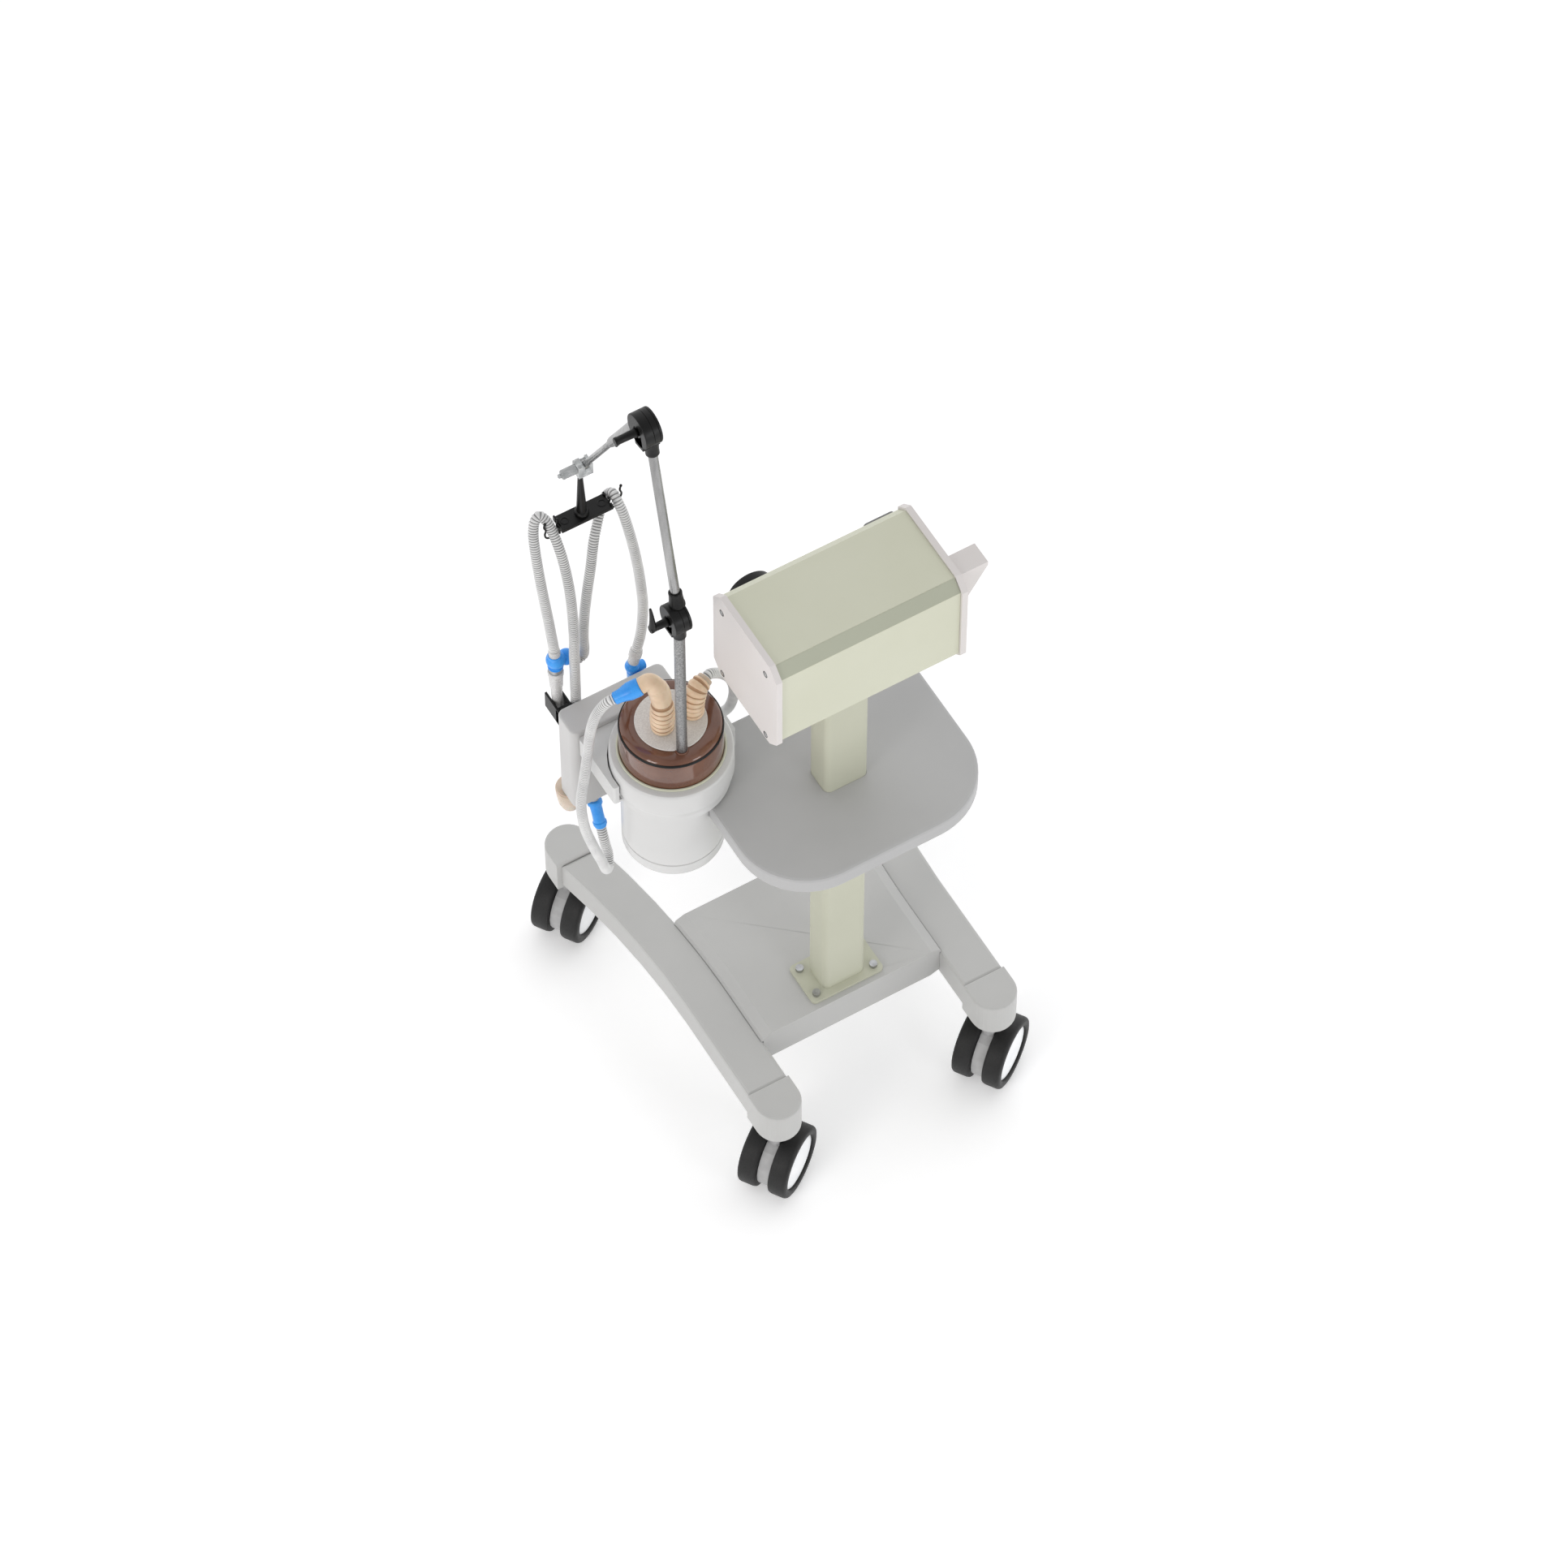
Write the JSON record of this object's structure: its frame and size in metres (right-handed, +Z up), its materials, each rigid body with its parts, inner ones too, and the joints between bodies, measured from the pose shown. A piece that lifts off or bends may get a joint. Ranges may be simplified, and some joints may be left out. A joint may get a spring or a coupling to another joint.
{
  "type": "mechanical ventilator",
  "caption": "Hospital ventilator on a wheeled column stand, with a heated humidifier, control box and a jointed arm that holds the breathing hoses.",
  "frame": {"origin": "on the floor, under the middle of the object's outer box, leaving out the free hoses and their fittings", "axes": "+Z up, +Y towards the rear of the head, -Y towards its control panel, +X towards the humidifier and the support arm"},
  "size_m": [0.6757, 0.7128, 1.7058],
  "materials": {
    "cream_paint": "satin powder coat",
    "white_paint": "satin powder coat",
    "grey_paint": "fine textured powder coat",
    "bracket_grey": "satin paint",
    "bright_steel": "polished",
    "white_plastic": "smooth moulded",
    "black_plastic": "satin moulded",
    "caster_grey": "moulded nylon",
    "tyre_rubber": "smooth rubber",
    "amber_chamber": "clear amber moulding",
    "beige_silicone": "translucent silicone",
    "beige_plastic": "translucent moulding",
    "hose_plastic": "corrugated tube",
    "blue_plastic": "smooth moulded",
    "clear_plastic": "clear moulding",
    "screen": "glossy window",
    "control_grey": "satin moulded",
    "button_blue": "smooth moulded",
    "board_green": "lacquered",
    "zinc_plate": "zinc plated"
  },
  "bodies": {
    "stand": {"leg_left": "grey_paint", "leg_right": "grey_paint", "base_plate": "grey_paint", "flange_bolts": "zinc_plate", "leg_cap_rear_left": "grey_paint", "leg_cap_rear_right": "grey_paint", "leg_cap_front_left": "grey_paint", "leg_cap_front_right": "grey_paint", "column": "cream_paint", "shelf": "grey_paint", "head_side_plate_left": "white_paint", "head_side_plate_right": "white_paint", "head_rear_top_cover": "cream_paint", "head_front_panel": "cream_paint", "head_bottom_tray": "cream_paint", "display_screen": "screen", "pressure_gauge": "black_plastic", "key_panel": "control_grey", "circuit_board": "board_green", "power_supply": "zinc_plate", "blower": "control_grey", "gas_inlet": "white_paint", "humidifier_housing": "white_plastic", "heater_plate": "zinc_plate", "water_chamber": "amber_chamber", "chamber_disc": "white_plastic", "elbow_left": "beige_silicone", "elbow_right": "beige_silicone", "cradle": "white_plastic", "control_box": "bracket_grey", "drip_cup": "beige_plastic", "hose_1": "hose_plastic", "hose_2": "hose_plastic", "hose_3": "hose_plastic", "hose_4": "hose_plastic", "cone_connector": "blue_plastic", "joint_connector": "blue_plastic", "y_piece": "blue_plastic", "water_trap": "blue_plastic"},
    "pole": {"lower_pole": "bright_steel", "knuckle_1_fork": "black_plastic"},
    "upper_arm": {"knuckle_1_tongue": "black_plastic", "upper_pole": "bright_steel", "knuckle_2_fork": "black_plastic"},
    "forearm": {"knuckle_2_tongue": "black_plastic", "forearm": "bright_steel"},
    "holder": {"end_clamp": "clear_plastic", "hose_holder": "black_plastic"},
    "lever_1": {"knuckle_1_lever": "black_plastic"},
    "lever_2": {"knuckle_2_lever": "black_plastic"},
    "knob": {"control_knob": "black_plastic"},
    "button": {"start_button": "button_blue"},
    "caster_rear_left": {"caster_rear_left_housing": "caster_grey"},
    "wheels_rear_left": {"caster_rear_left_wheels": "tyre_rubber"},
    "caster_rear_right": {"caster_rear_right_housing": "caster_grey"},
    "wheels_rear_right": {"caster_rear_right_wheels": "tyre_rubber"},
    "caster_front_left": {"caster_front_left_housing": "caster_grey"},
    "wheels_front_left": {"caster_front_left_wheels": "tyre_rubber"},
    "caster_front_right": {"caster_front_right_housing": "caster_grey"},
    "wheels_front_right": {"caster_front_right_wheels": "tyre_rubber"}
  },
  "joints": [
    {"name": "caster_rear_left_swivel", "type": "hinge", "parent": "stand", "child": "caster_rear_left", "pos_m": [0.1827, 0.28777, 0.12], "axis": [0, 0, 1], "continuous": true},
    {"name": "wheels_rear_left_spin", "type": "hinge", "parent": "caster_rear_left", "child": "wheels_rear_left", "pos_m": [0.18452, 0.289, 0.0625], "axis": [-0.5592, 0.829, 0], "continuous": true},
    {"name": "caster_rear_right_swivel", "type": "hinge", "parent": "stand", "child": "caster_rear_right", "pos_m": [-0.2113, 0.28777, 0.12], "axis": [0, 0, 1], "continuous": true},
    {"name": "wheels_rear_right_spin", "type": "hinge", "parent": "caster_rear_right", "child": "wheels_rear_right", "pos_m": [-0.20948, 0.289, 0.0625], "axis": [-0.5592, 0.829, 0], "continuous": true},
    {"name": "caster_front_left_swivel", "type": "hinge", "parent": "stand", "child": "caster_front_left", "pos_m": [0.2297, -0.29023, 0.12], "axis": [0, 0, 1], "continuous": true},
    {"name": "wheels_front_left_spin", "type": "hinge", "parent": "caster_front_left", "child": "wheels_front_left", "pos_m": [0.23152, -0.289, 0.0625], "axis": [-0.5592, 0.829, 0], "continuous": true},
    {"name": "caster_front_right_swivel", "type": "hinge", "parent": "stand", "child": "caster_front_right", "pos_m": [-0.2583, -0.29023, 0.12], "axis": [0, 0, 1], "continuous": true},
    {"name": "wheels_front_right_spin", "type": "hinge", "parent": "caster_front_right", "child": "wheels_front_right", "pos_m": [-0.25648, -0.289, 0.0625], "axis": [-0.5592, 0.829, 0], "continuous": true},
    {"name": "arm_swivel", "type": "hinge", "parent": "stand", "child": "pole", "pos_m": [0.2167, 0.06577, 0.952], "axis": [0, 0, 1], "range_deg": [-25, 25], "deforming": ["hose_1", "hose_2"]},
    {"name": "knuckle_1_tilt", "type": "hinge", "parent": "pole", "child": "upper_arm", "pos_m": [0.2167, 0.06577, 1.303], "axis": [1, 0, 0], "range_deg": [-10, 10]},
    {"name": "knuckle_2_tilt", "type": "hinge", "parent": "upper_arm", "child": "forearm", "pos_m": [0.2167, -0.01155, 1.678], "axis": [1, 0, 0], "range_deg": [-15, 8]},
    {"name": "holder_tilt", "type": "hinge", "parent": "forearm", "child": "holder", "pos_m": [0.2167, -0.20802, 1.35003], "axis": [1, 0, 0], "range_deg": [-12, 12]},
    {"name": "lever_1_turn", "type": "hinge", "parent": "pole", "child": "lever_1", "pos_m": [0.2167, 0.06577, 1.303], "axis": [1, 0, 0], "range_deg": [-120, 120]},
    {"name": "lever_2_turn", "type": "hinge", "parent": "upper_arm", "child": "lever_2", "pos_m": [0.2167, -0.01155, 1.678], "axis": [1, 0, 0], "range_deg": [-120, 120]},
    {"name": "knob_turn", "type": "hinge", "parent": "stand", "child": "knob", "pos_m": [-0.0643, 0.04877, 1.18], "axis": [0, -1, 0], "range_deg": [-150, 150]},
    {"name": "button_press", "type": "slide", "parent": "stand", "child": "button", "axis": [0, 1, 0], "range_m": [0, 0.003], "stiffness_N_per_m": 300, "springref_m": -0.001}
  ]
}
